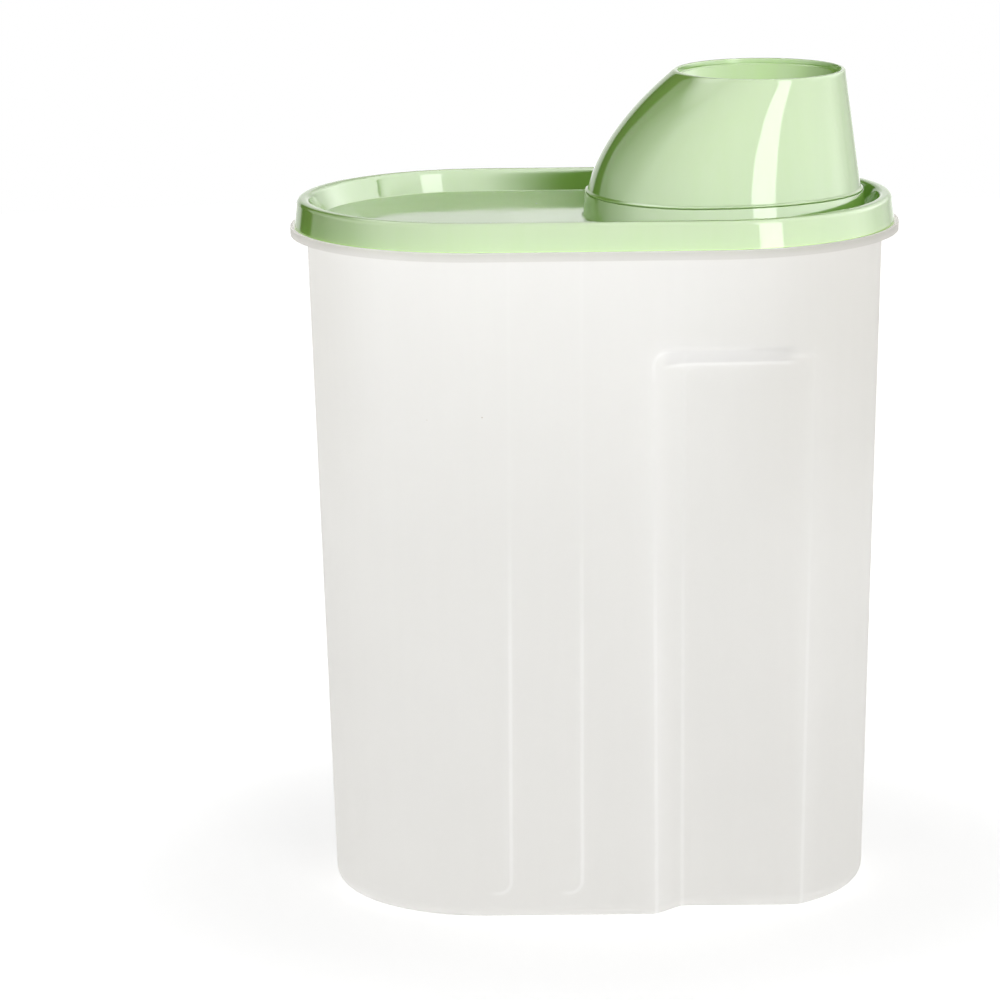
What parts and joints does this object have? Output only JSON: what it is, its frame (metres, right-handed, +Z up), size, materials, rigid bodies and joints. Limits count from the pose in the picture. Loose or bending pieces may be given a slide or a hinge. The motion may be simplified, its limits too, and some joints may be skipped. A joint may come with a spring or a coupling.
{
  "type": "cereal container",
  "caption": "Oval clear dry-food container with a press-on sunken lid; an upside-down measuring cup plugs into the lid's collar and closes the pour opening.",
  "frame": {"origin": "centre of the footprint, on the surface that the container stands on", "axes": "+Z up through the lid, +X along the oval towards the measuring cup, -Y out of the front face"},
  "size_m": [0.19, 0.119, 0.2596],
  "materials": {
    "clear_plastic": "translucent natural polypropylene, satin",
    "green_plastic": "light green polypropylene, polished"
  },
  "bodies": {
    "container": {"container": "clear_plastic"},
    "lid": {"lid": "green_plastic"},
    "measuring_cup": {"measuring_cup": "green_plastic"}
  },
  "joints": [
    {"name": "lid_lift", "type": "slide", "parent": "container", "child": "lid", "axis": [0, 0, 1], "range_m": [0, 0.06]},
    {"name": "cup_pull", "type": "slide", "parent": "lid", "child": "measuring_cup", "axis": [0, 0, 1], "range_m": [0, 0.05]}
  ]
}
